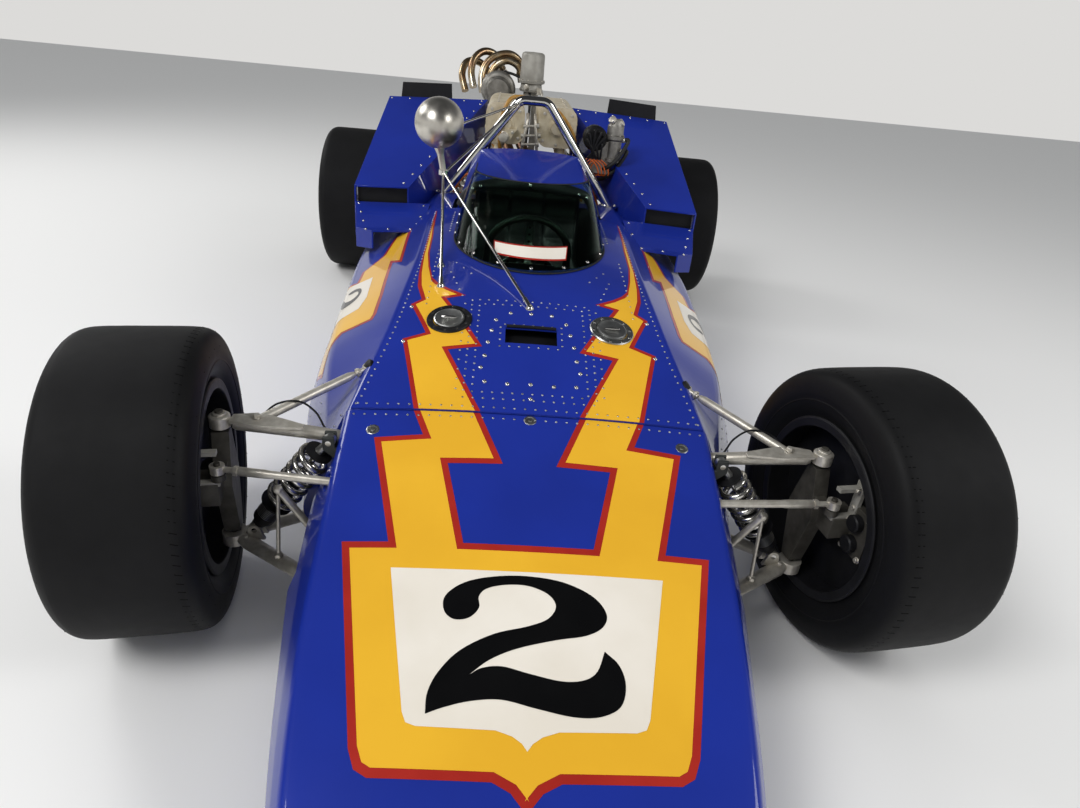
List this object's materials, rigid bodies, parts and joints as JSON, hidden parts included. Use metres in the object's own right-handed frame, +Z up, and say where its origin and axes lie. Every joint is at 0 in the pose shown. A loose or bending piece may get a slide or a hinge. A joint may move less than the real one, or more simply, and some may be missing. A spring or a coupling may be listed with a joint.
{
  "type": "open wheel racing car",
  "caption": "Single seat open wheel speedway racing car with wide nose, turbocharged V8 between raised decks and steered front wheels.",
  "frame": {"origin": "on the ground, midway along the length and between the wheels", "axes": "+Z up, nose towards -Y, the left side of the car towards +X"},
  "size_m": [1.922, 3.94, 1.0949],
  "materials": {
    "blue_paint": "gloss",
    "black_panel": "satin",
    "radiator_core": "finned",
    "tinted_screen": "clear",
    "bar_steel": "polished",
    "bright_chrome": "polished",
    "machined_aluminium": "machined",
    "seat_pad": "stitched",
    "wheel_grip": "stitched",
    "cast_alloy": "cast",
    "plenum_casting": "cast and tinted",
    "turbo_casting": "cast",
    "exhaust_steel": "heat tinted",
    "gearbox_casting": "cast",
    "plated_steel": "nickel plated",
    "cast_magnesium": "cast",
    "damper_black": "satin",
    "tyre_rubber": "slick",
    "wheel_black": "satin",
    "disc_iron": "ground"
  },
  "bodies": {
    "chassis": {"nose": "blue_paint", "radiator": "radiator_core", "tub": "blue_paint", "cowl": "blue_paint", "windscreen": "tinted_screen", "headrest_fairing": "blue_paint", "deck_left": "blue_paint", "deck_right": "blue_paint", "spoiler_flaps": "black_panel", "roll_bar": "bar_steel", "mirror": "bright_chrome", "filler_caps": "machined_aluminium", "seat": "seat_pad", "dash_panel": "black_panel", "engine": "cast_alloy", "cam_covers": "cast_alloy", "intake": "plenum_casting", "turbocharger": "turbo_casting", "exhaust": "exhaust_steel", "wastegate": "machined_aluminium", "gearbox": "gearbox_casting", "steering_rack": "machined_aluminium", "front_upper_arms": "plated_steel", "front_lower_arms": "plated_steel", "rear_uprights": "cast_magnesium", "rear_arms": "plated_steel", "dampers": "damper_black", "springs": "bright_chrome", "ignition_unit": "damper_black"},
    "steering_wheel_body": {"steering_wheel": "wheel_grip"},
    "steered_upright_left": {"front_upright_left": "cast_magnesium"},
    "track_rod_left": {"tie_rod_left": "plated_steel"},
    "front_wheel_assembly_left": {"front_tyre_left": "tyre_rubber", "front_wheel_left": "wheel_black", "front_disc_left": "disc_iron"},
    "rear_wheel_assembly_left": {"rear_tyre_left": "tyre_rubber", "rear_wheel_left": "wheel_black", "half_shaft_left": "bar_steel"},
    "steered_upright_right": {"front_upright_right": "cast_magnesium"},
    "track_rod_right": {"tie_rod_right": "plated_steel"},
    "front_wheel_assembly_right": {"front_tyre_right": "tyre_rubber", "front_wheel_right": "wheel_black", "front_disc_right": "disc_iron"},
    "rear_wheel_assembly_right": {"rear_tyre_right": "tyre_rubber", "rear_wheel_right": "wheel_black", "half_shaft_right": "bar_steel"}
  },
  "joints": [
    {"name": "steer_left", "type": "hinge", "parent": "chassis", "child": "steered_upright_left", "pos_m": [0.628, -1.13, 0.3115], "axis": [0, 0, 1], "range_deg": [-28.4, 7.6]},
    {"name": "track_rod_swivel_left", "type": "hinge", "parent": "steered_upright_left", "child": "track_rod_left", "pos_m": [0.64154, -1.20377, 0.376], "axis": [0, 0, 1], "range_deg": [-7.7, 28.5]},
    {"name": "front_wheel_spin_left", "type": "hinge", "parent": "steered_upright_left", "child": "front_wheel_assembly_left", "pos_m": [0.7598, -1.10581, 0.3115], "axis": [0.9836, 0.1805, 0], "continuous": true},
    {"name": "rear_wheel_spin_left", "type": "hinge", "parent": "chassis", "child": "rear_wheel_assembly_left", "pos_m": [0.76, 1.359, 0.3375], "axis": [1, 0, 0], "continuous": true},
    {"name": "steer_right", "type": "hinge", "parent": "chassis", "child": "steered_upright_right", "pos_m": [-0.628, -1.13, 0.3115], "axis": [0, 0, 1], "range_deg": [-28.4, 7.6]},
    {"name": "track_rod_swivel_right", "type": "hinge", "parent": "steered_upright_right", "child": "track_rod_right", "pos_m": [-0.61446, -1.20377, 0.376], "axis": [0, 0, 1], "range_deg": [-7.7, 28.5]},
    {"name": "front_wheel_spin_right", "type": "hinge", "parent": "steered_upright_right", "child": "front_wheel_assembly_right", "pos_m": [-0.7598, -1.15419, 0.3115], "axis": [0.9836, 0.1805, 0], "continuous": true},
    {"name": "rear_wheel_spin_right", "type": "hinge", "parent": "chassis", "child": "rear_wheel_assembly_right", "pos_m": [-0.76, 1.359, 0.3375], "axis": [1, 0, 0], "continuous": true},
    {"name": "steering_wheel_turn", "type": "hinge", "parent": "chassis", "child": "steering_wheel_body", "pos_m": [0, -0.165, 0.56], "axis": [0, 0.9397, 0.342], "range_deg": [-256, 69]}
  ],
  "couplings": [
    {"joint": "steer_right", "follows": "steer_left", "ratio": 1},
    {"joint": "track_rod_swivel_left", "follows": "steer_left", "ratio": -1},
    {"joint": "track_rod_swivel_right", "follows": "steer_left", "ratio": -1},
    {"joint": "steering_wheel_turn", "follows": "steer_left", "ratio": 9}
  ]
}
